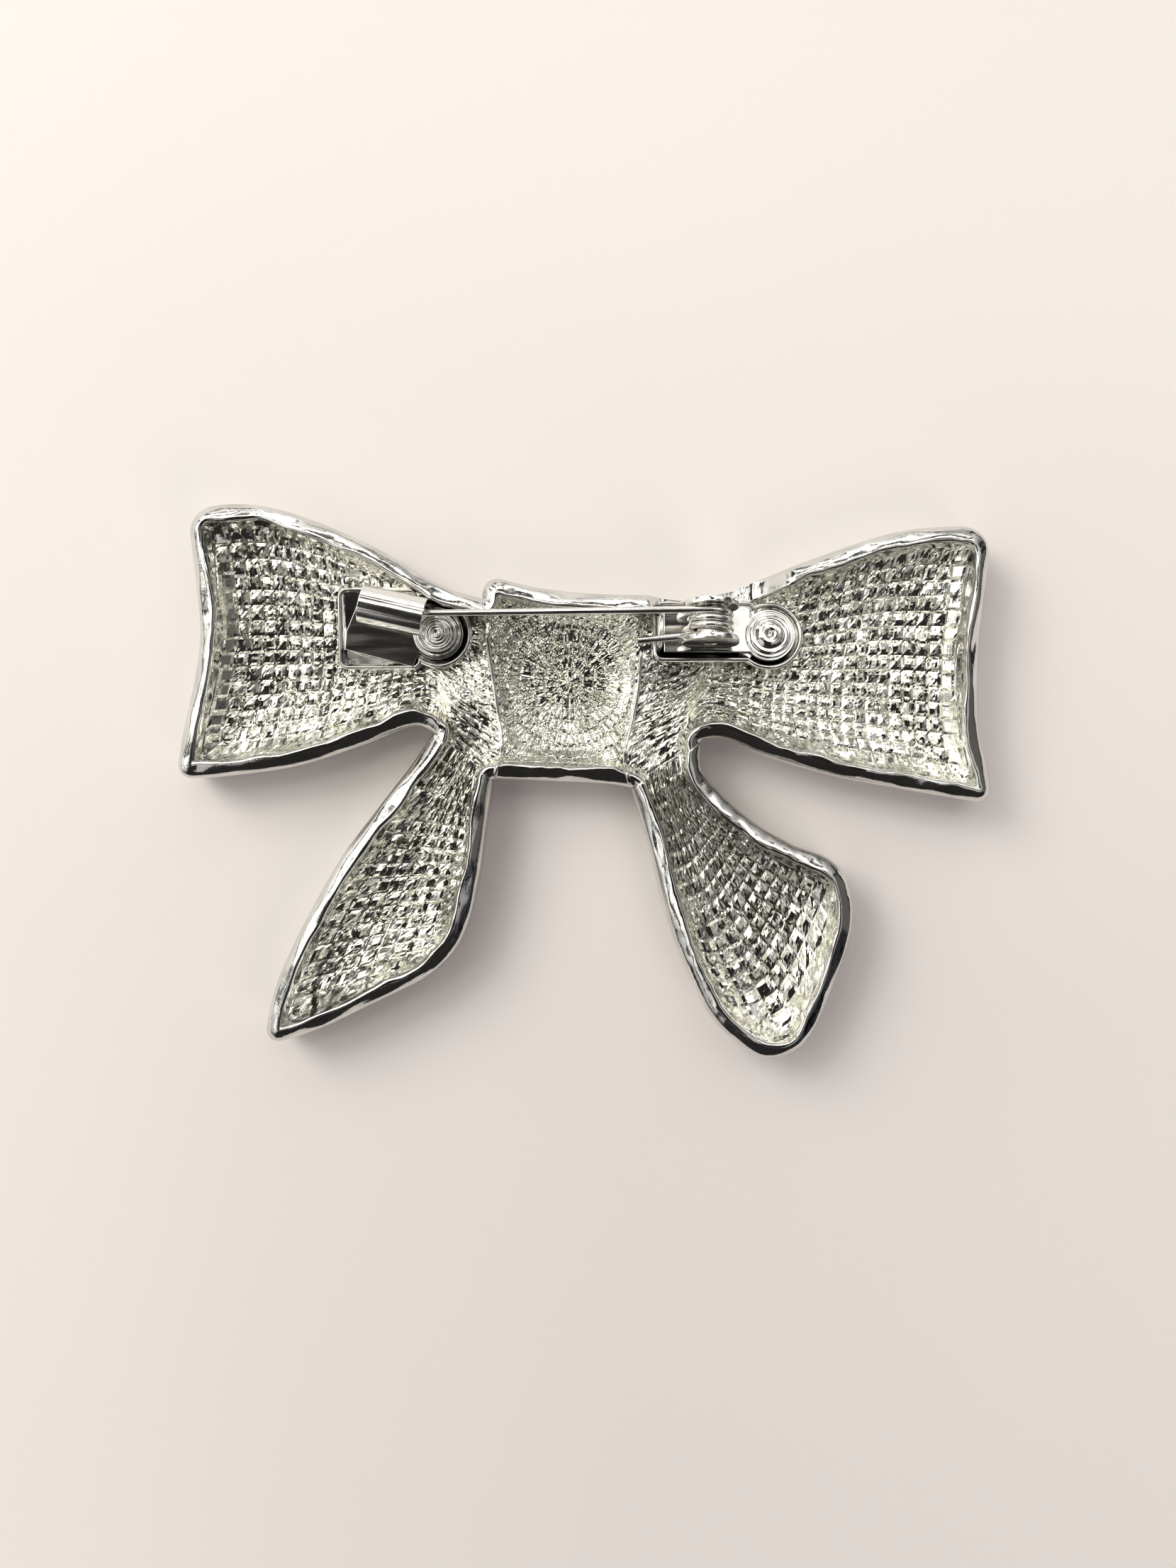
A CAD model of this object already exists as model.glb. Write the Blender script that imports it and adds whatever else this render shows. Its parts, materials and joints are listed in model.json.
"""Looks of the bow brooch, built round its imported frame.

The casting, the rivet heads and the wire are drawn here, and the stamped parts are copies with eased edges.
The stones and the axle are the frame's own.
"""

import json
import math
from dataclasses import dataclass

import bmesh
import bpy
import numpy as np
from mathutils import Matrix, Vector


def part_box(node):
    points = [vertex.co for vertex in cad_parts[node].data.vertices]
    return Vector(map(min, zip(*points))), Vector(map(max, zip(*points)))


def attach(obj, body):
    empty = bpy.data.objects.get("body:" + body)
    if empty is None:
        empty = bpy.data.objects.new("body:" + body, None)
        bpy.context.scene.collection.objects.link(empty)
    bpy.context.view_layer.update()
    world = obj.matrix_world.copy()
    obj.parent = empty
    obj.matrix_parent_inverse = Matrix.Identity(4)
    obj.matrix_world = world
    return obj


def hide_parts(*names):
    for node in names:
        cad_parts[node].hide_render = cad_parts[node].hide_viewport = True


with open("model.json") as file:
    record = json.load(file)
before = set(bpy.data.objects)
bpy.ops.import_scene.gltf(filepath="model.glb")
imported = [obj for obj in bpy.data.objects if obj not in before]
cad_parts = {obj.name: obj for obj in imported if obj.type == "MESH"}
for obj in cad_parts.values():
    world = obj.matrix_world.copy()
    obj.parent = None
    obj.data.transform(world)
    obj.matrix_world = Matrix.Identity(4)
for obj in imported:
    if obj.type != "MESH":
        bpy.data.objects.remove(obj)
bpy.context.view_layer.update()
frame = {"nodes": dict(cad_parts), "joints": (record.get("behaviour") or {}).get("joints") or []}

MM = 0.001  # shapes below are worked out in millimetres
RANDOM = np.random.default_rng(20)

# Heights of the casting, as in the frame
PAD_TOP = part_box("catch_hook")[0].z / MM
RIM_TOP = 5.0
WIDEST = 1.8
FLOOR = 1.2
UNDERSIDE = 0.25

# Corners where the regions of the bow meet: notches beside the loops, ends of the knot's sides
LEFT_NOTCH, RIGHT_NOTCH = (-13.6, 4.8), (10.4, 4.05)
LEFT_FOOT, RIGHT_FOOT = (-8.2, 0.5), (4.0, -0.2)
LEFT_SHOULDER, RIGHT_SHOULDER = (-9.2, 16.7), (5.6, 17.0)
LEFT_CREASE = [LEFT_FOOT, (-7.5, 3.4), (-7.85, 6.4), (-8.55, 11.2), (-8.9, 14.4), LEFT_SHOULDER]
RIGHT_CREASE = [RIGHT_FOOT, (3.5, 2.6), (4.3, 6.0), (4.8, 9.0), (5.1, 13.0), RIGHT_SHOULDER]

# Open sides are part of the bow's outline; shared ones run on under the neighbour
LEFT_LOOP_END = [(-36.6, 0.6), (-35.7, 5.3), (-34.7, 9.4), (-34.1, 13.4), (-34.3, 17.5), (-35.0, 24.3)]
LEFT_LOOP_TOP = [(-35.0, 24.3), (-31.1, 24.9), (-27.1, 24.5), (-19.0, 21.4), (-12.4, 17.7), LEFT_SHOULDER]
LEFT_LOOP_LOW = [(-36.6, 0.6), (-31.6, 0.9), (-25.5, 1.8), (-19.6, 3.7), (-15.0, 5.35), LEFT_NOTCH]
RIGHT_LOOP_END = [(36.7, -1.8), (36.2, 1.4), (35.4, 4.6), (35.1, 12.0), (35.5, 16.6), (36.2, 23.2)]
RIGHT_LOOP_TOP = [RIGHT_SHOULDER, (9.0, 16.6), (12.8, 17.4), (20.1, 20.2), (28.2, 22.7), (36.2, 23.2)]
RIGHT_LOOP_LOW = [RIGHT_NOTCH, (12.0, 4.2), (16.2, 2.6), (22.4, 0.8), (28.7, -0.4), (36.7, -1.8)]
KNOT_TOP = [
    LEFT_SHOULDER, (-9.1, 17.5), (-8.6, 18.2), (-7.7, 18.45), (-6.6, 18.2), (-4.4, 17.7), (-0.2, 17.2),
    RIGHT_SHOULDER,
]
KNOT_LOW = [LEFT_FOOT, (-5.1, 0.45), (-0.9, 0.3), (2.4, 0.1), RIGHT_FOOT]
LEFT_TAIL_OUT = [
    (-29.1, -23.7), (-28.9, -21.4), (-27.7, -17.1), (-22.0, -6.4), (-18.7, -2.0), (-15.4, 2.2), LEFT_NOTCH,
]
LEFT_TAIL_IN = [(-13.4, -17.0), (-11.0, -13.6), (-9.6, -8.4), (-8.8, -3.0), LEFT_FOOT]
LEFT_TAIL_LOW = [(-29.1, -23.7), (-23.8, -22.0), (-19.8, -20.1), (-13.4, -17.0)]
RIGHT_TAIL_IN = [(11.6, -21.8), (9.2, -16.9), (7.2, -11.6), (6.0, -6.4), (4.8, -2.4), RIGHT_FOOT]
RIGHT_TAIL_OUT = [(24.8, -10.6), (22.6, -7.0), (18.5, -5.1), (14.7, -2.8), (10.7, 1.3), RIGHT_NOTCH]
RIGHT_TAIL_LOW = [(11.6, -21.8), (16.2, -24.9), (19.6, -24.0), (23.3, -16.3), (24.8, -10.6)]

# Rim: height of the casting's top by its distance from the outline
RIM_PROFILE = [
    (0.0, WIDEST), (0.015, 3.2), (0.04, 3.8), (0.1, 4.12), (0.25, 4.36), (0.45, 4.56), (0.7, 4.74),
    (0.95, 4.88), (1.25, RIM_TOP), (1.42, 4.96), (1.55, 4.75), (1.68, 4.2), (1.82, 3.5), (2.1, 2.95),
    (2.8, 2.4), (3.8, 1.9), (5.0, 1.5), (7.0, FLOOR),
]
REACH = RIM_PROFILE[-1][0]  # beyond this distance the outline no longer matters

# Insets of the grid lines that follow an open side
BAND = [
    0.0, 0.015, 0.04, 0.1, 0.22, 0.36, 0.52, 0.68, 0.84, 0.98, 1.12, 1.24, 1.35, 1.45, 1.54, 1.63, 1.72, 1.82,
]
UNDER_RINGS = [(0.0, WIDEST), (0.22, 0.9), (0.65, 0.05), (1.25, 0.0), (1.4, UNDERSIDE)]
THINNEST = 0.3
OVERLAP = 0.3  # how far a region runs on under its neighbour
SHARED_DROP = 0.9  # how far a region's edge under its neighbour is sunk
SHELL_STEP = 0.004  # each region's underside is this much higher than the one before, so that no two coincide
NEAR_END, NEAR_END_POINTS = 3.6, 70  # the stretch of an open side that a rounded corner changes
CORNER_REACH = 1.6  # in radii
NOTCH_SQUEEZE, NOTCH_FADE = 0.93, (-0.01, 0.04)  # insets shrink where a loop's low side meets its tail
CELL_STEPS = 5  # quads along each side of a cell

# Slow waves: depth, length and seed. The first two move the rim in plan, the last one moves its top.
RIPPLE_WAVES, RIPPLE_STRETCH = 6, (0.6, 1.6)
EDGE_WAVES = [(0.13, 6.0, 3), (0.04, 2.4, 4)]
RIM_WAVE = (0.08, 5.0, 5)

# Stretches over which one shape passes into the next, by distance from the outline
WAVER_BEGINS = (0.1, 0.9)
RIM_BEGINS, RIM_ENDS = (0.3, 1.0), (1.8, 2.6)
PADS_BEGIN = (1.5, 2.0)
CELLS_BEGIN = (1.65, 2.1)
CELL_PLATE_FROM = 1.7
HOLLOW_BEGINS = (1.7, 3.2)

# The back rises towards each crease, and the knot is a little dished
CREASE_RISE, CREASE_SPREAD, KNOT_CREASE_SPREAD = 1.3, 3.2, 1.3
KNOT_DISH, KNOT_DISH_WIDTH = 0.35, 3.5
CELLS_FROM_CREASE = (0.1, 0.5)

# The rim is cut down under the bracket, and comes back up on each side of it
BRACKET_HALF, RIM_BACK_LEFT, RIM_BACK_RIGHT = 4.0, 5.4, 7.6  # from the axle, along X
BRACKET_FRONT = (-2.5, -2.2)
BRACKET_GAP = 0.03

# Cells: how far a mound's peak may be off the middle, its steepness, its cut-off top, its height and tilt
PEAK_SHIFT = 0.24
STEEPNESS = (1.1, 1.9)
DRAWN_OUT, DRAWN_END = 2.4, 0.6
TOP_CUT = (0.75, 1.0)
MOUND_HEIGHT = (0.6, 1.3)
TILT = 0.5
UNEVEN, STREAK_UNEVEN = 0.05, 0.2
STEP_HEIGHT, STEP_EDGE, STEP_TILT = (0.1, 1.1), 6, 0.3

# The knot's cells stand in rings round its middle
KNOT_MIDDLE = (-1.4, 9.3)
FAN_RING, FAN_WIDTH, FAN_SHIFT = 1.15, 0.62, 0.37
FAN_LEAST = 5
FAN_STEEP_OUT, FAN_STEEP_ROUND = 2.6, 1.4
FAN_PEAK, FAN_TOP, FAN_HEIGHT = (0.3, 0.4), (0.75, 0.25), (0.5, 0.8)  # each a least value, and what is drawn

# The hinge leans about the X axis, with its axle through this point
HINGE = frame["joints"][0]
AXLE = Vector(HINGE["pos_m"]) / MM
LEAN = math.atan2(-HINGE["axis"][2], HINGE["axis"][1])
HINGE_PLACE = Matrix.Translation(AXLE) @ Matrix.Rotation(-LEAN, 4, "X")

# Raised pads: each a block (lowest and highest corners) with a round lobe; the hinge's are from its axle
HINGE_PAD_TOP, HINGE_PAD_LOW = -2.65, -4.6
HINGE_BLOCK = (-4.9, -2.9, 4.5, 2.6)
HINGE_LOBE = (5.5, -0.55)
CATCH_PAD_LOW = 0.7
CATCH_BLOCK = (-22.1, 10.4, -14.6, 17.7)
CATCH_LOBE = (-13.2, 13.6)
LOBE_R, BLOCK_CORNER_R = 3.05, 0.9
PAD_STAND, PAD_SURROUND = 1.0, (0.3, 1.5)  # the back is sunk this much below a pad's top, beside it
LIP_WIDTH, LIP_RISE, LIP_STEPS = 0.4, 0.28, 5
ABOVE_LIP = (0.18, 1.0)  # where the shape that hollows a pad's top ends: inset and height

# The thin raised line along each crease, between shares of its length
BEAD_R, BEAD_FROM, LEFT_BEAD_TO, RIGHT_BEAD_TO = 0.16, 0.03, 0.8, 0.7
BEAD_RISE, BEAD_WAVE, BEAD_WAVES = 0.06, 0.04, 17
BEAD_POINTS, BEAD_SIDES = 60, 10

# Rivet heads, on the sheet: outline from the middle outwards, and the grooves' pitch, depth and first radius
SHEET = 0.5
SHANK_R, SHANK_LOW = 0.78, -1.4
HEAD_STEP, HEAD_SIDES, HEAD_WOBBLE = 0.035, 120, 0.012
GROOVE_FADE = 0.2
CATCH_RIVET_PROFILE = [
    (0.0, 0.5), (0.25, 0.64), (0.6, 0.64), (0.9, 0.52), (1.05, 0.37), (1.2, 0.44), (1.35, 0.42), (1.5, 0.28),
    (1.65, 0.35), (1.8, 0.31), (1.95, 0.18), (2.08, 0.12), (2.12, 0.0),
]
CATCH_RIVET_GROOVES = (0.26, 0.03, 0.12)
HINGE_RIVET_PROFILE = [
    (0.0, 0.2), (0.2, 0.22), (0.32, 0.5), (0.5, 0.6), (0.8, 0.62), (1.05, 0.52), (1.25, 0.33), (1.35, 0.27),
    (1.5, 0.33), (1.68, 0.33), (1.8, 0.2), (1.9, 0.18), (2.02, 0.22), (2.14, 0.14), (2.18, 0.0),
]
HINGE_RIVET_GROOVES = (0.12, 0.007, 0.6)

# Pin wire: radii of the wire, of its stem's thin end and of its point, then its coil, stem and tail
WIRE_R, STEM_R, POINT_R = 0.31, 0.29, 0.04
POINT_LENGTH, POINT_SHAPE = 2.6, 0.6
COIL_R, COIL_TURNS, COIL_PITCH = 1.72, 2.5, 0.64
STEM_LENGTH, STEM_SLOPE = 30.2, math.radians(3.4)
TAIL_LENGTH, TAIL_BEND, TAIL_TURN = 6.3, 2.0, math.radians(5)
STEM_POINTS, COIL_POINTS, TAIL_POINTS = 61, 150, 24

# Stamped parts: how wide their eased edges are, and which edges count as sharp
HOOK_EASE, BRACKET_EASE = 0.07, 0.06
FLAT_ANGLE, EASED_ANGLE, SHARP_ANGLE = math.radians(2), math.radians(35), math.radians(50)


def at_hinge(x, y, z):
    return tuple(HINGE_PLACE @ Vector((x, y, z)))


def mix(first, second, start, end, t):
    """A value between two others, as t goes from start to end."""
    return first * (end - t) / (end - start) + second * (t - start) / (end - start)


class Line:
    """A smooth curve through its points, read by the share of its length."""

    def __init__(self, *runs):
        sampled = [self.smooth(np.array(points, float)) for points in runs]
        self.points = np.vstack([sampled[0]] + [run[1:] for run in sampled[1:]])
        steps = np.linalg.norm(np.diff(self.points, axis=0), axis=1)
        self.places = np.concatenate([[0.0], np.cumsum(steps)])
        self.length = self.places[-1]
        first_steps = np.linalg.norm(np.diff(sampled[0], axis=0), axis=1)
        self.first_share = first_steps.sum() / self.length

    @staticmethod
    def smooth(points, per_span=24):
        """Catmull-Rom curve through the points, with end tangents from the end spans."""
        padded = np.vstack([2 * points[0] - points[1], points, 2 * points[-1] - points[-2]])
        knots = np.concatenate([[0.0], np.cumsum(np.sqrt(np.linalg.norm(np.diff(padded, axis=0), axis=1)))])
        out = []
        for index in range(1, len(padded) - 2):
            p0, p1, p2, p3 = padded[index - 1:index + 3]
            t0, t1, t2, t3 = knots[index - 1:index + 3]
            for t in np.linspace(t1, t2, per_span, endpoint=False):
                a1, a2, a3 = mix(p0, p1, t0, t1, t), mix(p1, p2, t1, t2, t), mix(p2, p3, t2, t3, t)
                b1, b2 = mix(a1, a2, t0, t2, t), mix(a2, a3, t1, t3, t)
                out.append(mix(b1, b2, t1, t2, t))
        out.append(points[-1])
        return np.array(out)

    def at(self, share):
        """Points at shares of the length; outside 0 to 1 the line runs straight on."""
        place = np.asarray(share, float) * self.length
        on_line = np.stack([np.interp(place, self.places, self.points[:, axis]) for axis in (0, 1)], -1)
        start = (self.points[0] - self.points[1]) / self.places[1]
        last = (self.points[-1] - self.points[-2]) / (self.places[-1] - self.places[-2])
        before = np.clip(-place, 0, None)[..., None]
        after = np.clip(place - self.length, 0, None)[..., None]
        return on_line + before * start + after * last


def patch(sides, u, v):
    """Coons patch between four lines."""
    left, right = sides["left"], sides["right"]
    bottom, top = sides["bottom"], sides["top"]
    u1, v1 = u[..., None], v[..., None]
    across = left.at(v) * (1 - u1) + right.at(v) * u1
    along = bottom.at(u) * (1 - v1) + top.at(u) * v1
    zero, one = np.zeros(()), np.ones(())
    low = left.at(zero) * (1 - u1) + right.at(zero) * u1
    high = left.at(one) * (1 - u1) + right.at(one) * u1
    return across + along - (low * (1 - v1) + high * v1)


def distance(points, line, chunk=4000):
    """Distance in plan from each point to a chain of segments."""
    flat = points.reshape(-1, 2)
    start, end = line[:-1], line[1:]
    along = end - start
    square = np.maximum((along ** 2).sum(1), 1e-12)
    found = np.empty(len(flat))
    for first in range(0, len(flat), chunk):
        part = flat[first:first + chunk, None, :] - start[None]
        share = np.clip((part * along[None]).sum(2) / square, 0, 1)
        gap = part - share[..., None] * along[None]
        found[first:first + chunk] = np.sqrt((gap ** 2).sum(2).min(1))
    return found.reshape(points.shape[:-1])


def smooth_step(value, low, high):
    t = np.clip((value - low) / (high - low), 0, 1)
    return t * t * (3 - 2 * t)


def ripple(points, scale, seed):
    """Slow waves in plan, between about -1 and 1, for hand-finished edges."""
    spin = np.random.default_rng(seed)
    total = np.zeros(points.shape[:-1])
    for _ in range(RIPPLE_WAVES):
        angle, phase = spin.uniform(0, 2 * math.pi), spin.uniform(0, 2 * math.pi)
        stretch = spin.uniform(*RIPPLE_STRETCH)
        wave = points[..., 0] * math.cos(angle) + points[..., 1] * math.sin(angle)
        total += np.sin(wave * 2 * math.pi * stretch / scale + phase)
    return total / (RIPPLE_WAVES / 2)


class Corner:
    """An open corner of the bow: pulls the points beside it in, so that its two sides meet in an arc."""

    def __init__(self, place, first, second, radius):
        self.place = np.array(place)
        self.radius = radius
        self.axes = np.stack([self.towards(first), self.towards(second)], 1)

    def towards(self, side):
        line = Line(side).points
        if np.linalg.norm(line[0] - self.place) > np.linalg.norm(line[-1] - self.place):
            line = line[::-1]
        along = line[np.argmax(np.linalg.norm(line - self.place, axis=1) > self.radius)] - self.place
        return along / np.linalg.norm(along)

    def round_off(self, points):
        local = (points - self.place) @ np.linalg.inv(self.axes).T
        a, b = 1 - local[..., 0] / self.radius, 1 - local[..., 1] / self.radius
        near = (a > 0) & (b > 0) & (a < CORNER_REACH) & (b < CORNER_REACH)
        a, b = np.where(near, a, 0), np.where(near, b, 0)
        arc_a = a * np.sqrt(1 - np.minimum(b, 1) ** 2 / 2)
        arc_b = b * np.sqrt(1 - np.minimum(a, 1) ** 2 / 2)
        on_arc = np.stack([arc_a, arc_b], -1)
        moved = self.place + self.radius * (1 - on_arc) @ self.axes.T
        return np.where(near[..., None], moved, points)


CORNERS = [
    Corner(LEFT_LOOP_END[-1], LEFT_LOOP_END, LEFT_LOOP_TOP, 2.2),
    Corner(LEFT_LOOP_END[0], LEFT_LOOP_END, LEFT_LOOP_LOW, 1.6),
    Corner(RIGHT_LOOP_END[-1], RIGHT_LOOP_END, RIGHT_LOOP_TOP, 3.0),
    Corner(RIGHT_LOOP_END[0], RIGHT_LOOP_END, RIGHT_LOOP_LOW, 1.8),
    Corner(LEFT_TAIL_LOW[0], LEFT_TAIL_OUT, LEFT_TAIL_LOW, 1.8),
    Corner(LEFT_TAIL_LOW[-1], LEFT_TAIL_IN, LEFT_TAIL_LOW, 2.4),
    Corner(RIGHT_TAIL_LOW[0], RIGHT_TAIL_IN, RIGHT_TAIL_LOW, 1.6),
    Corner(RIGHT_TAIL_LOW[-1], RIGHT_TAIL_OUT, RIGHT_TAIL_LOW, 3.0),
]


def round_corners(points):
    for corner in CORNERS:
        points = corner.round_off(points)
    return points


def open_side(side):
    """Points along an open side, closest together near its ends, where the corners are rounded."""
    line = Line(side)
    near_end = np.linspace(0, NEAR_END / line.length, NEAR_END_POINTS)
    places = np.concatenate([near_end, line.places / line.length, 1 - near_end])
    return round_corners(line.at(np.unique(places)))


OUTLINE = [open_side(side) for side in (
    LEFT_LOOP_END, LEFT_LOOP_TOP, LEFT_LOOP_LOW, RIGHT_LOOP_END, RIGHT_LOOP_TOP, RIGHT_LOOP_LOW, KNOT_TOP,
    KNOT_LOW, LEFT_TAIL_OUT, LEFT_TAIL_IN, LEFT_TAIL_LOW, RIGHT_TAIL_IN, RIGHT_TAIL_OUT, RIGHT_TAIL_LOW,
)]
CREASES = [Line(LEFT_CREASE).points, Line(RIGHT_CREASE).points]


def from_outline(points):
    """Distance to the bow's outline, up to REACH."""
    nearest = np.full(points.shape[:-1], REACH)
    for line in OUTLINE:
        near = ((points > line.min(0) - REACH) & (points < line.max(0) + REACH)).all(-1)
        nearest[near] = np.minimum(nearest[near], distance(points[near], line))
    return nearest


def from_crease(points):
    return np.min([distance(points, line[::3]) for line in CREASES], axis=0)


def pad_plane(points):
    """Height of the hinge pad's leaning top, carried on over the bow, and the place across the hinge."""
    local_y = (points[..., 1] - AXLE.y - HINGE_PAD_TOP * math.sin(LEAN)) / math.cos(LEAN)
    return AXLE.z - local_y * math.sin(LEAN) + HINGE_PAD_TOP * math.cos(LEAN), local_y


def beside_pad(points, block, lobe):
    """Distance in plan from a pad's block and lobe, nought inside them."""
    x, y = points[..., 0], points[..., 1]
    low_x, low_y, high_x, high_y = block
    out_x = np.maximum(np.maximum(low_x - x, x - high_x), 0)
    out_y = np.maximum(np.maximum(low_y - y, y - high_y), 0)
    from_lobe = np.maximum(np.hypot(x - lobe[0], y - lobe[1]) - LOBE_R, 0)
    return np.minimum(np.hypot(out_x, out_y), from_lobe)


def clear_of_pads(points, height):
    """Sinks the back a little beside the two pads, so that they stand out of it."""
    from_catch = beside_pad(points, CATCH_BLOCK, CATCH_LOBE)
    from_hinge = beside_pad(points - np.array(AXLE.xy), HINGE_BLOCK, HINGE_LOBE)
    for gap, top in ((from_catch, PAD_TOP), (from_hinge, pad_plane(points)[0])):
        near = 1 - smooth_step(gap, *PAD_SURROUND)
        height = height - near * np.maximum(height - (top - PAD_STAND), 0)
    return height


def crease_rise(crease, is_knot):
    """How much the back rises at a distance from the nearest crease."""
    if is_knot:
        dish = KNOT_DISH * smooth_step(crease, 0.0, KNOT_DISH_WIDTH)
        return CREASE_RISE * np.exp(-crease / KNOT_CREASE_SPREAD) - dish
    return CREASE_RISE * np.exp(-crease / CREASE_SPREAD)


def top_height(points, is_knot):
    """Height of the back without its cells, and the distance to the outline."""
    edge = from_outline(points)
    waver = sum(depth * ripple(points, length, seed) for depth, length, seed in EDGE_WAVES)
    worn = edge + waver * smooth_step(edge, *WAVER_BEGINS)
    height = np.interp(worn, *zip(*RIM_PROFILE))
    depth, length, seed = RIM_WAVE
    on_rim = smooth_step(edge, *RIM_BEGINS) * (1 - smooth_step(edge, *RIM_ENDS))
    height += depth * ripple(points, length, seed) * on_rim

    plane, local_y = pad_plane(points)
    beside = np.abs(points[..., 0] - AXLE.x)
    rim_back = np.where(points[..., 0] > AXLE.x, RIM_BACK_RIGHT, RIM_BACK_LEFT)
    under_bracket = (1 - smooth_step(beside, BRACKET_HALF, rim_back)) * smooth_step(local_y, *BRACKET_FRONT)
    height = height - under_bracket * np.maximum(height - plane + BRACKET_GAP, 0)

    inside = smooth_step(edge, *HOLLOW_BEGINS) * (1 - under_bracket)
    height = height + crease_rise(from_crease(points), is_knot) * inside
    sunk = clear_of_pads(points, height)
    return height + (sunk - height) * smooth_step(edge, *PADS_BEGIN), edge


def facet(place, peak):
    """A straight rise from 0 to 1 at the peak, and a straight fall beyond it."""
    return np.where(place < peak, place / peak, (1 - place) / (1 - peak))


def one_cell(a, b, drawn, is_step):
    """Heights of one cell: a lopsided faceted mound, level along its edges, or a plain step."""
    inner = CELL_STEPS - 1
    across, down = max(drawn, 0), max(-drawn, 0)
    peak_a, peak_b = 0.5 + RANDOM.uniform(-PEAK_SHIFT, PEAK_SHIFT, 2)
    rise_a, rise_b = facet(a, peak_a), facet(b, peak_b)
    steep_a, steep_b = RANDOM.uniform(*STEEPNESS, 2) * (DRAWN_OUT ** drawn, DRAWN_OUT ** -drawn)
    mound = np.minimum(rise_a * steep_a + DRAWN_END * across, rise_b * steep_b + DRAWN_END * down)
    mound = np.minimum(mound, RANDOM.uniform(*TOP_CUT)) * RANDOM.uniform(*MOUND_HEIGHT)
    tilt = RANDOM.uniform(-TILT, TILT) * (a - 0.5) + RANDOM.uniform(-TILT, TILT) * (b - 0.5)
    mound = mound + tilt * np.minimum(np.minimum(rise_a, rise_b) * 2, 1)
    mound[1:-1, 1:-1] += RANDOM.uniform(-UNEVEN, UNEVEN, (inner, inner))
    mound[:, 1:-1] += across * RANDOM.uniform(-STREAK_UNEVEN, STREAK_UNEVEN, inner)
    mound[1:-1, :] += down * RANDOM.uniform(-STREAK_UNEVEN, STREAK_UNEVEN, inner)[:, None]
    if is_step:
        edges = np.minimum(np.minimum(rise_a, rise_b) * STEP_EDGE, 1)
        mound = edges * RANDOM.uniform(*STEP_HEIGHT) + tilt * STEP_TILT
    return mound


def cell_relief(region):
    """Heights inside a region's cells.

    The region's streaks give, for a cell's place, how far its mound is drawn out across the rows (above 0)
    or along a column (below 0). The cells of its flat column are plain steps.
    """
    steps, rows, columns = CELL_STEPS, region.rows, region.columns
    grid = np.zeros((columns * steps + 1, rows * steps + 1))
    local = np.arange(steps + 1) / steps
    a, b = np.meshgrid(local, local, indexing="ij")
    for column in range(columns):
        for row in range(rows):
            drawn = region.streaks((column + 0.5) / columns, (row + 0.5) / rows)
            mound = one_cell(a, b, drawn, column == region.flat_column)
            i, j = column * steps, row * steps
            grid[i:i + steps + 1, j:j + steps + 1] = mound * region.depth
    return grid


def fan_relief(points, depth):
    """Heights of cells that stand in rings round the middle of the knot, each drawn out towards it."""
    away = points - np.array(KNOT_MIDDLE)
    rings_out = np.hypot(away[..., 0], away[..., 1]) / FAN_RING
    ring = np.floor(rings_out).astype(int)
    count = np.round(2 * math.pi * (ring + 0.5) * FAN_RING / FAN_WIDTH)
    count = np.maximum(count, FAN_LEAST).astype(int)
    turned = (np.arctan2(away[..., 1], away[..., 0]) / (2 * math.pi) + FAN_SHIFT * ring) % 1.0 * count
    cell = np.minimum(np.floor(turned).astype(int), count - 1)
    draws = RANDOM.uniform(0, 1, (ring.max() + 1, count.max(), 4))[ring, cell]
    least, more = np.transpose([FAN_PEAK, FAN_PEAK, FAN_TOP, FAN_HEIGHT])
    peak_out, peak_round, top, height = np.moveaxis(least + more * draws, -1, 0)
    rise_out, rise_round = facet(rings_out - ring, peak_out), facet(turned - cell, peak_round)
    mound = np.minimum(rise_out * FAN_STEEP_OUT, rise_round * FAN_STEEP_ROUND)
    return depth * np.minimum(mound, top) * height


@dataclass
class Region:
    """One textured part of the casting, between four lines; its shared sides lie under its neighbours.

    notch is the share of its low side where its tail begins, and whether the tail is to the right of it.
    """

    name: str
    sides: dict
    shared: list
    rows: int
    columns: int
    depth: float
    streaks: object = None
    flat_column: int = None
    notch: tuple = None

    @property
    def is_open(self):
        return {side: side not in self.shared for side in self.sides}


def grid_shares(cells, low_open, high_open, size, low_scale=1.0):
    """Shares of a region's size for its grid lines: a band along each open side, and the cells between."""
    low = np.array(BAND) * low_scale if low_open else np.array([-OVERLAP])
    high = np.array(BAND[::-1]) if high_open else np.array([-OVERLAP])
    first = low[-1] / size if low_open else 0.0
    last = 1 - high[0] / size if high_open else 1.0
    inside = np.arange(cells * CELL_STEPS + 1) / (cells * CELL_STEPS)
    return np.concatenate([low / size, first + inside * (last - first), 1 - high / size])


def gaps(sides, one, other, places):
    """Lengths of the straight lines between two facing sides, at shares of their length."""
    return np.linalg.norm(sides[other].at(places) - sides[one].at(places), axis=-1)


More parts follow.
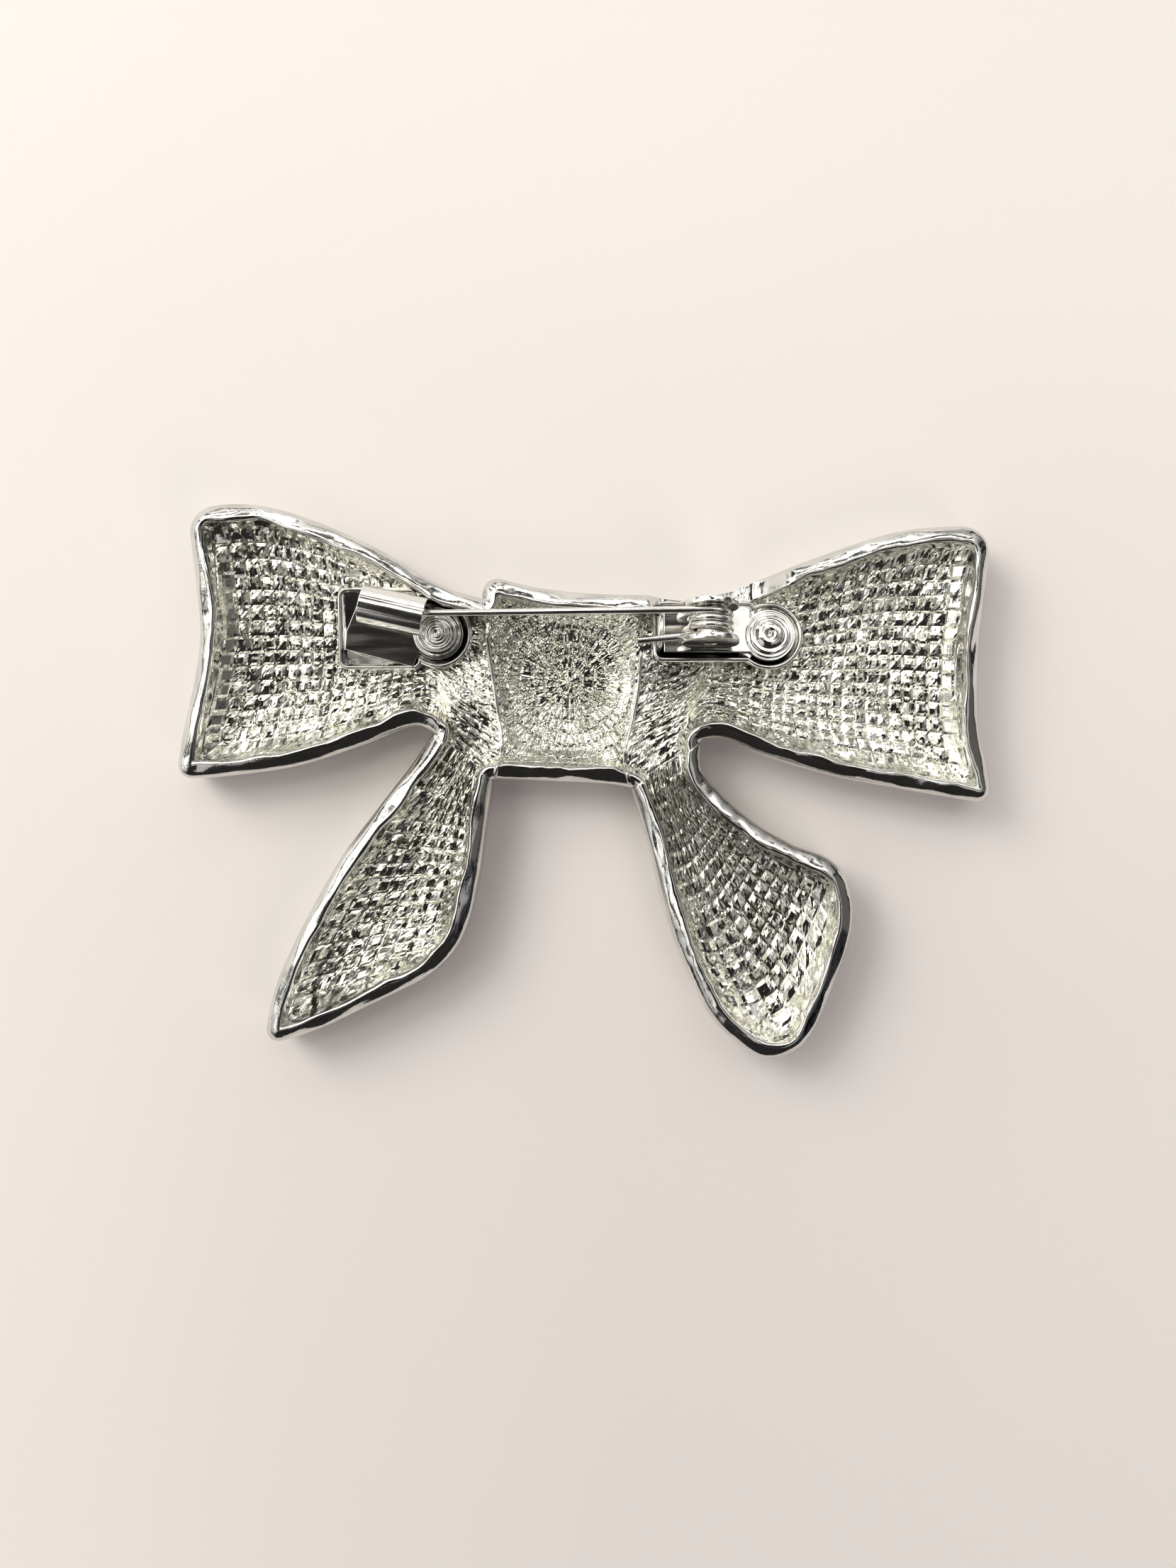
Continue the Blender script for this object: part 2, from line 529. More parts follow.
def region_grid(region):
    """Plan of a region's grid, and the part of the grid that its cells fill."""
    sides, is_open = region.sides, region.is_open
    across = (region.columns, is_open["left"], is_open["right"])
    along = (region.rows, is_open["bottom"], is_open["top"])
    rough_u = grid_shares(*across, gaps(sides, "left", "right", 0.5))
    rough_v = grid_shares(*along, gaps(sides, "bottom", "top", 0.5))
    low_scales = np.ones(len(rough_u))
    if region.notch is not None:
        start, towards_right = region.notch
        past = (rough_u - start) if towards_right else (start - rough_u)
        low_scales = 1 - NOTCH_SQUEEZE * smooth_step(past, *NOTCH_FADE)
    widths, heights = gaps(sides, "left", "right", rough_v), gaps(sides, "bottom", "top", rough_u)
    u = np.stack([grid_shares(*across, width) for width in widths], 1)
    v = np.stack([grid_shares(*along, height, scale) for height, scale in zip(heights, low_scales)], 0)
    first_u, first_v = (len(BAND) if is_open[side] else 1 for side in ("left", "bottom"))
    last_u, last_v = first_u + region.columns * CELL_STEPS, first_v + region.rows * CELL_STEPS
    return round_corners(patch(sides, u, v)), (slice(first_u, last_u + 1), slice(first_v, last_v + 1))


def region_top(region, plan, inner):
    """Heights of a region's back with its cells and sunk shared edges, and the distance to the outline."""
    is_knot = region.name == "knot"
    z, edge_gap = top_height(plan, is_knot)
    relief = np.zeros_like(z)
    relief[inner] = fan_relief(plan[inner], region.depth) if is_knot else cell_relief(region)
    z = z + relief * smooth_step(edge_gap, *CELLS_BEGIN) * smooth_step(from_crease(plan), *CELLS_FROM_CREASE)
    along = slice(None)
    borders = {"left": (0, along), "right": (-1, along), "bottom": (along, 0), "top": (along, -1)}
    for side, border in borders.items():
        if not region.is_open[side]:
            z[border] -= SHARED_DROP
    return np.maximum(z, UNDERSIDE + THINNEST), edge_gap


def ring_below(region, plan, i, j, inset):
    """Places and heights of one ring of a region's wall or underside, at an inset from its open sides."""
    last_i, last_j = plan.shape[0] - 1, plan.shape[1] - 1
    on_side = {"left": i == 0, "right": i == last_i, "bottom": j == 0, "top": j == last_j}
    shared = np.any([on_side[side] for side in on_side if not region.is_open[side]], axis=0)
    steps = {side: int(np.searchsorted(BAND, inset)) if region.is_open[side] else 0 for side in on_side}
    places = plan[
        np.clip(i, steps["left"], last_i - steps["right"]), np.clip(j, steps["bottom"], last_j - steps["top"])
    ]
    distances, heights = zip(*UNDER_RINGS)
    z = np.interp(np.minimum(from_outline(places), inset), distances, heights)
    return places, np.where(shared | (inset >= distances[-1]), UNDERSIDE, z)


def region_shell(region, lift):
    """A closed shell of one region: back, rim, wall and flat underside, and its faces' material slots."""
    plan, inner = region_grid(region)
    z, edge_gap = region_top(region, plan, inner)
    numbers = np.arange(z.size).reshape(z.shape)
    verts = np.dstack([plan, z]).reshape(-1, 3).tolist()
    corners = [numbers[:-1, :-1], numbers[1:, :-1], numbers[1:, 1:], numbers[:-1, 1:]]
    faces = np.stack(corners, -1).reshape(-1, 4).tolist()
    is_cell = np.zeros(corners[0].shape, int)
    cells = tuple(slice(part.start, part.stop - 1) for part in inner)
    is_cell[cells] = edge_gap[cells] > CELL_PLATE_FROM

    above = np.concatenate([numbers[:-1, 0], numbers[-1, :-1], numbers[:0:-1, -1], numbers[0, :0:-1]])
    i, j = np.divmod(above, z.shape[1])
    above = above.tolist()
    for inset, _ in UNDER_RINGS[1:]:
        places, heights = ring_below(region, plan, i, j, inset)
        below = range(len(verts), len(verts) + len(above))
        verts += [(x, y, height + lift) for (x, y), height in zip(places, heights)]
        faces += between(below, above)
        above = below
    faces.append(tuple(reversed(above)))
    slots = is_cell.ravel().tolist()
    return verts, faces, slots + [0] * (len(faces) - len(slots))


def between(low, high):
    """Faces between two closed rings of points, each ring given by its points' numbers."""
    count = len(low)
    return [(low[k], low[(k + 1) % count], high[(k + 1) % count], high[k]) for k in range(count)]


def stack(rings, count):
    """Faces between rings of points that follow one another, all with the same count."""
    numbers = [range(ring * count, (ring + 1) * count) for ring in range(rings)]
    return [face for low, high in zip(numbers, numbers[1:]) for face in between(low, high)]


def capped_stack(rings, count):
    """The same, closed at both ends."""
    ends = [tuple(reversed(range(count))), tuple(range((rings - 1) * count, rings * count))]
    return stack(rings, count) + ends


def circle(count):
    return [2 * math.pi * k / count for k in range(count)]


def mesh_object(name, verts, faces, materials, face_slots=None, scale=MM):
    """An object from plain lists, cleaned of doubled points and with its normals outwards."""
    mesh = bpy.data.meshes.new(name)
    mesh.from_pydata([tuple(scale * c for c in v) for v in verts], [], faces)
    for material in materials:
        mesh.materials.append(material)
    if face_slots is not None:
        mesh.polygons.foreach_set("material_index", face_slots)
    bm = bmesh.new()
    bm.from_mesh(mesh)
    bmesh.ops.remove_doubles(bm, verts=bm.verts, dist=2e-6)
    bmesh.ops.dissolve_degenerate(bm, edges=bm.edges, dist=1e-7)
    bmesh.ops.recalc_face_normals(bm, faces=bm.faces)
    for face in bm.faces:
        face.smooth = face_slots is None or face.material_index == 0
    bm.to_mesh(mesh)
    bm.free()
    return add_object(name, mesh)


def add_object(name, data):
    obj = bpy.data.objects.new(name, data)
    bpy.context.scene.collection.objects.link(obj)
    return obj


# Materials

def new_material(name, values):
    """A material whose shader has some inputs set by name."""
    material = bpy.data.materials.new(name)
    material.use_nodes = True
    shader = material.node_tree.nodes["Principled BSDF"]
    set_inputs(shader, values)
    return material, material.node_tree, shader


def set_inputs(node, values):
    for name, value in values.items():
        node.inputs[name].default_value = value


def add_node(tree, kind, values, **links):
    """A node with some inputs set, and others linked, by name."""
    node = tree.nodes.new("ShaderNode" + kind)
    set_inputs(node, values)
    for name, source in links.items():
        tree.links.new(source, node.inputs[name])
    return node


def noise(tree, scale, detail=2.0, roughness=0.5, stretch=None):
    """Noise over the object's own coordinates, in features per metre."""
    place = add_node(tree, "TexCoord", {}).outputs["Object"]
    if stretch:
        place = add_node(tree, "Mapping", {"Scale": stretch}, Vector=place).outputs["Vector"]
    values = {"Scale": scale, "Detail": detail, "Roughness": roughness}
    return add_node(tree, "TexNoise", values, Vector=place).outputs["Fac"]


def ramp(tree, source, low, high, low_at=0.3, high_at=0.7):
    node = add_node(tree, "ValToRGB", {}, Fac=source)
    first, last = node.color_ramp.elements
    first.position, last.position = low_at, high_at
    first.color, last.color = (*low, 1), (*high, 1)
    return node


def rough_range(tree, shader, source, low, high):
    """Roughness between two values, over the middle of the noise, where most of it lies."""
    values = {"From Min": 0.35, "From Max": 0.65, "To Min": low, "To Max": high}
    node = add_node(tree, "MapRange", values, Value=source)
    tree.links.new(node.outputs["Result"], shader.inputs["Roughness"])


CLOUDS, CLOUD_DETAIL = 420.0, 3.0
GRAIN_DETAIL, GRAIN_ROUGHNESS = 4.0, 0.6
SMOOTHEST, ROUGHEST = 0.6, 1.5  # in multiples of a metal's roughness


def plated_metal(name, tint, shade, roughness, grain, grain_depth, stretch=None):
    """Bright plate: colour between two close tints, and fine unevenness."""
    material, tree, shader = new_material(name, {"Metallic": 1.0})
    colour = ramp(tree, noise(tree, CLOUDS, CLOUD_DETAIL), shade, tint)
    tree.links.new(colour.outputs["Color"], shader.inputs["Base Color"])
    surface = noise(tree, grain, GRAIN_DETAIL, GRAIN_ROUGHNESS, stretch)
    rough_range(tree, shader, surface, roughness * SMOOTHEST, roughness * ROUGHEST)
    bump = add_node(tree, "Bump", {"Strength": 1.0, "Distance": grain_depth}, Height=surface)
    tree.links.new(bump.outputs["Normal"], shader.inputs["Normal"])
    return material


def cut_glass(name):
    material, tree, shader = new_material(name, {"Transmission Weight": 1.0, "IOR": 1.62})
    cloud = noise(tree, 300.0)
    colour = ramp(tree, cloud, (0.93, 0.96, 1.0), (1.0, 1.0, 1.0))
    tree.links.new(colour.outputs["Color"], shader.inputs["Base Color"])
    rough_range(tree, shader, cloud, 0.0, 0.03)
    return material


ROLLED, DRAWN = (0.12, 1, 1), (0.05, 1, 1)  # grain drawn out along the sheet and along the wire
RIM_METAL = plated_metal("rim_plate", (0.8, 0.79, 0.76), (0.64, 0.635, 0.61), 0.09, 900.0, 2.5e-5)
CELL_METAL = plated_metal("cell_plate", (0.93, 0.92, 0.86), (0.78, 0.78, 0.7), 0.08, 2600.0, 2.0e-5)
SHEET_METAL = plated_metal("sheet_plate", (0.9, 0.89, 0.85), (0.82, 0.81, 0.77), 0.12, 1500.0, 6e-6, ROLLED)
RIVET_METAL = plated_metal("rivet_plate", (0.92, 0.91, 0.88), (0.84, 0.83, 0.8), 0.08, 2500.0, 2e-6)
WIRE_METAL = plated_metal("wire_steel", (0.86, 0.85, 0.82), (0.76, 0.75, 0.72), 0.16, 2500.0, 6e-6, DRAWN)
STONE_GLASS = cut_glass("clear_stone")
CASTING_METALS = [RIM_METAL, CELL_METAL]


# The casting

def inset_outline(outline, inset):
    """The outline moved inwards by an inset."""
    outline = np.array(outline, float)
    tangent = np.roll(outline, -1, 0) - np.roll(outline, 1, 0)
    tangent /= np.linalg.norm(tangent, axis=1)[:, None]
    return outline + inset * np.stack([-tangent[:, 1], tangent[:, 0]], 1)


def pad_shell(outline, rings, place):
    """A closed block from rings of its outline, each an inset and a level, from its underside up."""
    verts = [place(x, y, level) for inset, level in rings for x, y in inset_outline(outline, inset)]
    return verts, capped_stack(len(rings), len(outline))


def rounded_outline(x0, y0, x1, y1, radius=BLOCK_CORNER_R, per_corner=8):
    points = []
    corners = [(x1 - radius, y0 + radius, -90), (x1 - radius, y1 - radius, 0),
               (x0 + radius, y1 - radius, 90), (x0 + radius, y0 + radius, 180)]
    for x, y, start in corners:
        for step in range(per_corner + 1):
            angle = math.radians(start + 90 * step / per_corner)
            points.append((x + radius * math.cos(angle), y + radius * math.sin(angle)))
    return points


def circle_outline(x, y, radius=LOBE_R, count=72):
    return [(x + radius * math.cos(t), y + radius * math.sin(t)) for t in circle(count)]


def combine(body, others, operation):
    """Joins closed shells to a body, or cuts them out of it."""
    bpy.context.view_layer.objects.active = body
    for other in others:
        modifier = body.modifiers.new("combine", "BOOLEAN")
        modifier.operation = operation
        modifier.solver = "MANIFOLD"
        modifier.object = other
        bpy.ops.object.modifier_apply(modifier=modifier.name)
        bpy.data.objects.remove(other)
    return body


def flat(x, y, z):
    return (x, y, z)


def build_pad(name, block, lobe, top, bottom, place):
    """A raised pad: a rounded block and a round lobe in one, with a low rounded lip round its top."""
    half = LIP_WIDTH / 2
    arc = [math.pi / 2 * step / LIP_STEPS for step in range(LIP_STEPS + 1)]
    walls = [(0.0, bottom)] + [(half * (1 - math.cos(t)), top + LIP_RISE * math.sin(t)) for t in arc]
    hollow = [(half + half * math.cos(t), top + LIP_RISE * math.sin(t)) for t in arc]
    hollow.append((ABOVE_LIP[0], top + ABOVE_LIP[1]))
    solids, recesses = [], []
    for outline in (rounded_outline(*block), circle_outline(*lobe)):
        solids.append(mesh_object(name, *pad_shell(outline, walls, place), CASTING_METALS))
        recesses.append(mesh_object(name + "_recess", *pad_shell(outline, hollow, place), CASTING_METALS))
    return combine(combine(solids[0], solids[1:], "UNION"), recesses, "DIFFERENCE")


def crease_bead(name, line, upto):
    """The thin raised line that was left along a crease."""
    places = np.linspace(BEAD_FROM, upto, BEAD_POINTS)
    plan = line.at(places)
    heights = top_height(plan, False)[0]
    path = [
        (x, y, z + BEAD_RISE + BEAD_WAVE * math.sin(BEAD_WAVES * place))
        for (x, y), z, place in zip(plan, heights, places)
    ]
    verts, faces = tube(path, [BEAD_R] * BEAD_POINTS, BEAD_SIDES)
    return mesh_object(name, verts, faces, CASTING_METALS)


def drawn_rightwards(u, v):
    return smooth_step(u, 0.5, 0.9)


def drawn_leftwards(u, v):
    return 1 - smooth_step(u, 0.1, 0.5)


def drawn_upwards(u, v):
    return -smooth_step(v, 0.6, 1.0)


def sides(left, right, bottom, top):
    return {"left": left, "right": right, "bottom": bottom, "top": top}


def casting_regions(left_crease, right_crease):
    left_low = Line(LEFT_LOOP_LOW, [LEFT_NOTCH, LEFT_FOOT])
    right_low = Line([RIGHT_FOOT, RIGHT_NOTCH], RIGHT_LOOP_LOW)
    left_join, right_join = Line([LEFT_NOTCH, LEFT_FOOT]), Line([RIGHT_FOOT, RIGHT_NOTCH])
    left_loop = sides(Line(LEFT_LOOP_END), left_crease, left_low, Line(LEFT_LOOP_TOP))
    right_loop = sides(right_crease, Line(RIGHT_LOOP_END), right_low, Line(RIGHT_LOOP_TOP))
    knot = sides(left_crease, right_crease, Line(KNOT_LOW), Line(KNOT_TOP))
    left_tail = sides(Line(LEFT_TAIL_OUT), Line(LEFT_TAIL_IN), Line(LEFT_TAIL_LOW), left_join)
    right_tail = sides(Line(RIGHT_TAIL_IN), Line(RIGHT_TAIL_OUT), Line(RIGHT_TAIL_LOW), right_join)
    return [
        Region("left_loop", left_loop, ["right"], rows=15, columns=24, depth=0.36,
               streaks=drawn_rightwards, flat_column=0, notch=(left_low.first_share, True)),
        Region("right_loop", right_loop, ["left"], rows=15, columns=28, depth=0.36,
               streaks=drawn_leftwards, flat_column=27, notch=(right_low.first_share, False)),
        Region("knot", knot, ["left", "right"], rows=24, columns=20, depth=0.34),
        Region("left_tail", left_tail, ["top"], rows=17, columns=8, depth=0.4, streaks=drawn_upwards),
        Region("right_tail", right_tail, ["top"], rows=18, columns=10, depth=0.34, streaks=drawn_upwards),
    ]


def build_casting():
    left_crease, right_crease = Line(LEFT_CREASE), Line(RIGHT_CREASE)
    shells = []
    for index, region in enumerate(casting_regions(left_crease, right_crease)):
        verts, faces, slots = region_shell(region, SHELL_STEP * index)
        shells.append(mesh_object(region.name, verts, faces, CASTING_METALS, slots))
    pads = [
        build_pad("catch_pad", CATCH_BLOCK, CATCH_LOBE, PAD_TOP, CATCH_PAD_LOW, flat),
        build_pad("hinge_pad", HINGE_BLOCK, HINGE_LOBE, HINGE_PAD_TOP, HINGE_PAD_LOW, at_hinge),
    ]
    beads = [
        crease_bead("left_bead", left_crease, LEFT_BEAD_TO),
        crease_bead("right_bead", right_crease, RIGHT_BEAD_TO),
    ]
    body = combine(shells[0], shells[1:] + beads + pads, "UNION")
    body.name = "bow_back"
    for face in body.data.polygons:
        face.use_smooth = face.material_index == 0
    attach(body, "brooch")
    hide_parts("bow_casting")


# The pin finding

def eased_copy(node, name, material, width):
    """A copy of a stamped part with its edges eased, as tumbling leaves them."""
    mesh = frame["nodes"][node].data.copy()
    mesh.name = name
    obj = add_object(name, mesh)
    bm = bmesh.new()
    bm.from_mesh(mesh)
    bmesh.ops.remove_doubles(bm, verts=bm.verts, dist=2e-6)
    bmesh.ops.dissolve_limit(bm, angle_limit=FLAT_ANGLE, verts=bm.verts, edges=bm.edges)
    bmesh.ops.recalc_face_normals(bm, faces=bm.faces)
    folded = [edge for edge in bm.edges if len(edge.link_faces) == 2]
    sharp = [edge for edge in folded if edge.calc_face_angle() > EASED_ANGLE]
    bmesh.ops.bevel(
        bm, geom=sharp, offset=width * MM, segments=3, profile=0.5, affect="EDGES", clamp_overlap=True)
    for face in bm.faces:
        face.smooth = True
    bm.to_mesh(mesh)
    bm.free()
    mesh.materials.clear()
    mesh.materials.append(material)
    mesh.set_sharp_from_angle(angle=SHARP_ANGLE)
    bpy.context.view_layer.objects.active = obj
    modifier = obj.modifiers.new("flat_faces_stay_flat", "WEIGHTED_NORMAL")
    modifier.keep_sharp = True
    bpy.ops.object.modifier_apply(modifier=modifier.name)
    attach(obj, "brooch")
    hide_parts(node)


def head_section(profile, grooves):
    """Radii and heights down a rivet head: the profile in small steps, softened, with fine grooves."""
    fine = []
    for (r0, z0), (r1, z1) in zip(profile, profile[1:]):
        count = max(2, int(math.hypot(r1 - r0, z1 - z0) / HEAD_STEP))
        fine += [(r0 + (r1 - r0) * t, z0 + (z1 - z0) * t) for t in np.arange(count) / count]
    fine.append(profile[-1])
    radii, heights = np.array(fine).T
    for _ in range(2):
        heights[1:-1] = (heights[:-2] + heights[1:-1] * 2 + heights[2:]) / 4
    pitch, depth, start = grooves
    fade = smooth_step(radii, start, start + GROOVE_FADE)
    return radii, heights + depth * np.sin(2 * math.pi * radii / pitch) * fade


def turned_head(name, node, place, profile, grooves):
    """A rivet head: its outline turned about its own axis, slightly out of round, on a plain shank."""
    verts = []
    radii, heights = head_section(profile, grooves)
    for r, z in zip(radii, heights):
        for angle in circle(HEAD_SIDES):
            wobble = 1 + HEAD_WOBBLE * math.sin(2 * angle + 7 * z)
            verts.append(place(r * wobble * math.cos(angle), r * wobble * math.sin(angle), z))
    for z in (0.0, SHANK_LOW):
        verts += [place(SHANK_R * math.cos(t), SHANK_R * math.sin(t), z) for t in circle(HEAD_SIDES)]
    faces = stack(len(radii) + 2, HEAD_SIDES)
    faces.append(tuple(range(len(verts) - HEAD_SIDES, len(verts))))
    obj = mesh_object(name, verts, faces, [RIVET_METAL])
    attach(obj, "brooch")
    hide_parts(node)


def on_catch_sheet(x, y, z):
    return (CATCH_LOBE[0] + x, CATCH_LOBE[1] + y, PAD_TOP + SHEET + z)


def on_hinge_sheet(x, y, z):
    return at_hinge(HINGE_LOBE[0] + x, HINGE_LOBE[1] + y, HINGE_PAD_TOP + SHEET + z)


def tube(path, radii, around=20):
    """A closed tube along a path, its section carried without twist."""
    path = [Vector(p) for p in path]
    verts = []
    tangent = (path[1] - path[0]).normalized()
    normal = tangent.orthogonal().normalized()
    for index, point in enumerate(path):
        ahead = path[min(index + 1, len(path) - 1)] - path[max(index - 1, 0)]
        turned = ahead.normalized()
        spin = tangent.rotation_difference(turned)
        normal = (spin @ normal).normalized()
        normal = (normal - turned * normal.dot(turned)).normalized()
        tangent = turned
        other = tangent.cross(normal)
        for angle in circle(around):
            verts.append(tuple(point + radii[index] * (normal * math.cos(angle) + other * math.sin(angle))))
    return verts, capped_stack(len(path), around)


def stem_radius(along):
    """Radius of the stem at a distance from the coil: a slight thinning, then the point."""
    from_tip = STEM_LENGTH - along
    if along > STEM_LENGTH - POINT_LENGTH:
        return POINT_R + (STEM_R - POINT_R) * (from_tip / POINT_LENGTH) ** POINT_SHAPE
    return STEM_R + (WIRE_R - STEM_R) * (1 - along / STEM_LENGTH)


def tail_place(along, side):
    """A place on the tail, which runs straight under the coil and then turns a little aside."""
    if along <= TAIL_BEND:
        return (-along, side, -COIL_R)
    past = along - TAIL_BEND
    return (-TAIL_BEND - past * math.cos(TAIL_TURN), side - past * math.sin(TAIL_TURN), -COIL_R)


def build_wire():
    """Stem, coil and tail of one drawn wire, in the hinge's own axes."""
    half = COIL_TURNS * COIL_PITCH / 2
    path, radii = [], []
    for step in range(STEM_POINTS):
        along = STEM_LENGTH * (1 - step / (STEM_POINTS - 1))
        path.append((-along * math.cos(STEM_SLOPE), half, COIL_R - along * math.sin(STEM_SLOPE)))
        radii.append(stem_radius(along))
    for step in range(1, COIL_POINTS):
        share = step / COIL_POINTS
        angle = math.pi / 2 - 2 * math.pi * COIL_TURNS * share
        path.append((COIL_R * math.cos(angle), half - 2 * half * share, COIL_R * math.sin(angle)))
        radii.append(WIRE_R)
    for step in range(TAIL_POINTS):
        path.append(tail_place(TAIL_LENGTH * step / (TAIL_POINTS - 1), -half))
        radii.append(WIRE_R)
    verts, faces = tube([at_hinge(*point) for point in path], radii)
    obj = mesh_object("pin_wire_drawn", verts, faces, [WIRE_METAL])
    obj.data.set_sharp_from_angle(angle=SHARP_ANGLE)
    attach(obj, "pin")
    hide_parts("pin_wire")


def dress(node, material):
    mesh = frame["nodes"][node].data
    mesh.materials.clear()
    mesh.materials.append(material)


def build_object():
    build_casting()
    eased_copy("catch_hook", "catch_hook_eased", SHEET_METAL, HOOK_EASE)
    eased_copy("hinge_bracket", "hinge_bracket_eased", SHEET_METAL, BRACKET_EASE)
    turned_head("catch_rivet_head", "catch_rivet", on_catch_sheet, CATCH_RIVET_PROFILE, CATCH_RIVET_GROOVES)
    turned_head("hinge_rivet_head", "hinge_rivet", on_hinge_sheet, HINGE_RIVET_PROFILE, HINGE_RIVET_GROOVES)
    build_wire()
    dress("hinge_axle", RIVET_METAL)
    for node in frame["nodes"]:
        if "stones" in node:
            dress(node, STONE_GLASS)


# Surface, light and camera

FLOOR_HALF, BACKDROP_R = 1.5, 1.35
FLOOR_COLOUR, BACKDROP_COLOUR = (0.815, 0.772, 0.735), (0.5, 0.478, 0.458)
WARM_WHITE, ROSE_WHITE = (1.0, 0.98, 0.94), (1.0, 0.88, 0.95)
DOWN, TO_BACK, TO_LEFT = (0, 0, -1), (0, 1, 0), (-1, 0, 0)
BRIGHT_SIDE = (-0.55, 0.62, 0.56)  # where the room is brightest
LENS, SENSOR = 27.0, 36.0
CAMERA_PLACE, CAMERA_AIM = (-1.2, 8.1, 109.05), (0.28, -0.11, 0.0)


def plain(name, colour, roughness=0.9, emission=0.0):
    values = {"Base Color": (*colour, 1), "Roughness": roughness, "Emission Strength": emission}
    if emission:
        values["Emission Color"] = (*colour, 1)
    return new_material(name, values)[0]


def rectangle(name, width, height, material):
    mesh = bpy.data.meshes.new(name)
    w, h = width / 2, height / 2
    mesh.from_pydata([(-w, -h, 0), (w, -h, 0), (w, h, 0), (-w, h, 0)], [], [(0, 1, 2, 3)])
    mesh.materials.append(material)
    obj = add_object(name, mesh)
    return obj


def card(name, centre, size, facing, material, glossy_only=True):
    """A flat card that the metal reflects and the camera doesn't see."""
    obj = rectangle(name, *size, material)
    obj.location = centre
    obj.rotation_euler = Vector(facing).to_track_quat("Z", "Y").to_euler()
    obj.visible_camera = False
    obj.visible_diffuse = not glossy_only
    obj.visible_shadow = not glossy_only
    obj.visible_transmission = False


def build_backdrop(around=64, up=16):
    """The upper half of a ball round the object, seen by the camera only."""
    verts = []
    for ring in range(up + 1):
        rise = math.pi / 2 * ring / up
        radius, height = BACKDROP_R * math.cos(rise), BACKDROP_R * math.sin(rise)
        verts += [(radius * math.cos(turn), radius * math.sin(turn), height) for turn in circle(around)]
    pale = plain("backdrop_pale", BACKDROP_COLOUR, emission=1.1)
    obj = mesh_object("backdrop", verts, stack(up + 1, around), [pale], scale=1.0)
    obj.visible_diffuse = obj.visible_glossy = obj.visible_transmission = False
    obj.visible_shadow = False


def build_cards():
    """What the metal reflects: the phone and the hand that holds it, dark sides, a window and a lamp."""
    black = plain("card_black", (0.004, 0.004, 0.004))
    grey = plain("card_grey", (0.1, 0.1, 0.1))
    window = plain("window", WARM_WHITE, emission=2.0)
    card("phone", (-0.008, -0.035, 0.12), (0.1, 0.15), DOWN, black, glossy_only=False)
    card("hand", (0.014, 0.063, 0.12), (0.03, 0.03), DOWN, black)
    card("card_front", (0.05, -0.36, 0.2), (0.5, 0.36), TO_BACK, black)
    card("card_right", (0.42, 0.0, 0.2), (0.3, 0.3), TO_LEFT, grey)
    card("window_pane", (-0.3, 0.36, 0.38), (0.2, 0.26), (0.3, -0.36, -0.38), window)
    card("lamp", (0.3, 0.26, 0.34), (0.1, 0.12), (-0.3, -0.26, -0.34), window)


def area_light(name, place, size, power, colour):
    """A soft light aimed at the object, not reflected in it."""
    data = bpy.data.lights.new(name, "AREA")
    data.shape = "RECTANGLE"
    data.size, data.size_y = size
    data.energy = power
    data.color = colour
    obj = add_object(name, data)
    obj.location = place
    obj.rotation_euler = (-Vector(place)).to_track_quat("-Z", "Y").to_euler()
    obj.visible_glossy = False


def multiplied(tree, first, second):
    node = add_node(tree, "Mix", {"Factor": 1.0})
    node.data_type = "RGBA"
    node.blend_type = "MULTIPLY"
    tree.links.new(first, node.inputs[6])
    tree.links.new(second, node.inputs[7])
    return node.outputs[2]


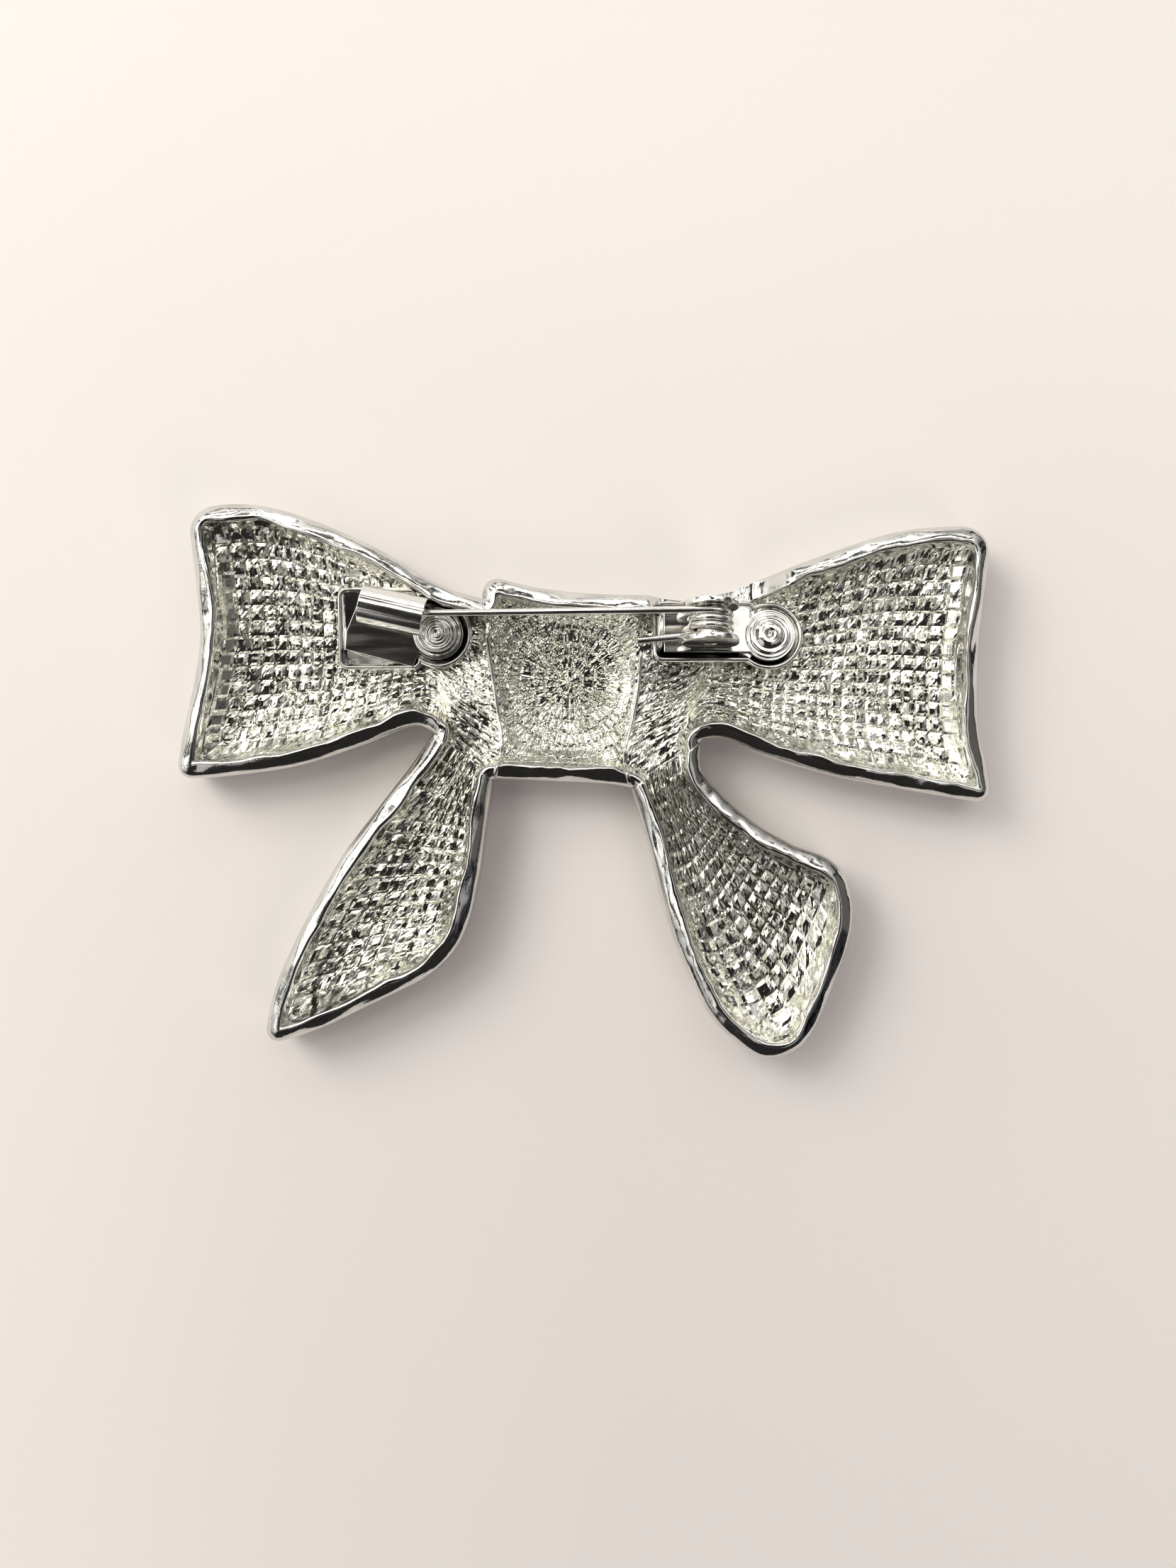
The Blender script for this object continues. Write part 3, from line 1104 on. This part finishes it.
def towards_window(tree, place):
    """Colour of the room by how near a direction is to its bright side."""
    towards = add_node(tree, "VectorMath", {})
    towards.operation = "DOT_PRODUCT"
    towards.inputs[1].default_value = Vector(BRIGHT_SIDE).normalized()
    tree.links.new(place, towards.inputs[0])
    spread = add_node(tree, "MapRange", {"From Min": -1.0, "From Max": 1.0}, Value=towards.outputs["Value"])
    colour = ramp(tree, spread.outputs["Result"], (0.03, 0.03, 0.033), WARM_WHITE, 0.35, 0.9)
    middle = colour.color_ramp.elements.new(0.62)
    middle.color = (0.3, 0.295, 0.29, 1)
    return colour.outputs["Color"]


def room_patches(tree, place):
    """Furniture and openings of a room: hard-edged darker and lighter patches."""
    patches = add_node(tree, "TexNoise", {"Scale": 5.0, "Detail": 1.5}, Vector=place)
    return ramp(tree, patches.outputs["Fac"], (0.03, 0.03, 0.03), (1, 1, 1), 0.42, 0.51).outputs["Color"]


def build_world():
    """The room that the metal reflects, dimmer towards the horizon."""
    world = bpy.data.worlds.new("studio")
    bpy.context.scene.world = world
    world.use_nodes = True
    tree = world.node_tree
    background = tree.nodes["Background"]
    background.inputs["Strength"].default_value = 2.5
    place = add_node(tree, "TexCoord", {}).outputs["Generated"]
    axes = add_node(tree, "SeparateXYZ", {}, Vector=place)
    horizon = ramp(tree, axes.outputs["Z"], (0.4, 0.4, 0.4), (1, 1, 1), 0.05, 0.55)
    room = multiplied(tree, towards_window(tree, place), room_patches(tree, place))
    tree.links.new(multiplied(tree, room, horizon.outputs["Color"]), background.inputs["Color"])


def build_set():
    rectangle("floor", 2 * FLOOR_HALF, 2 * FLOOR_HALF, plain("floor_white", FLOOR_COLOUR, roughness=0.55))
    build_backdrop()
    build_cards()
    area_light("key", (-0.42, 0.34, 0.36), (0.3, 0.3), 2.2, WARM_WHITE)
    area_light("fill", (0.3, -0.42, 0.4), (0.3, 0.3), 0.8, ROSE_WHITE)
    build_world()


def build_camera():
    """Straight above the top of the bow, tipped a little towards its middle."""
    data = bpy.data.cameras.new("camera")
    data.lens = LENS
    data.sensor_width = SENSOR
    data.sensor_fit = "AUTO"
    data.clip_start, data.clip_end = 0.005, 20
    camera = add_object("camera", data)
    position, aim = Vector(CAMERA_PLACE) * MM, Vector(CAMERA_AIM) * MM
    forward = (aim - position).normalized()
    right = forward.cross(Vector((0, 1, 0))).normalized()
    up = right.cross(forward)
    turn = Matrix((right, up, -forward)).transposed()
    camera.matrix_world = Matrix.Translation(position) @ turn.to_4x4()
    bpy.context.scene.camera = camera


build_object()
build_set()
build_camera()
bpy.context.scene.view_settings.view_transform = "Standard"
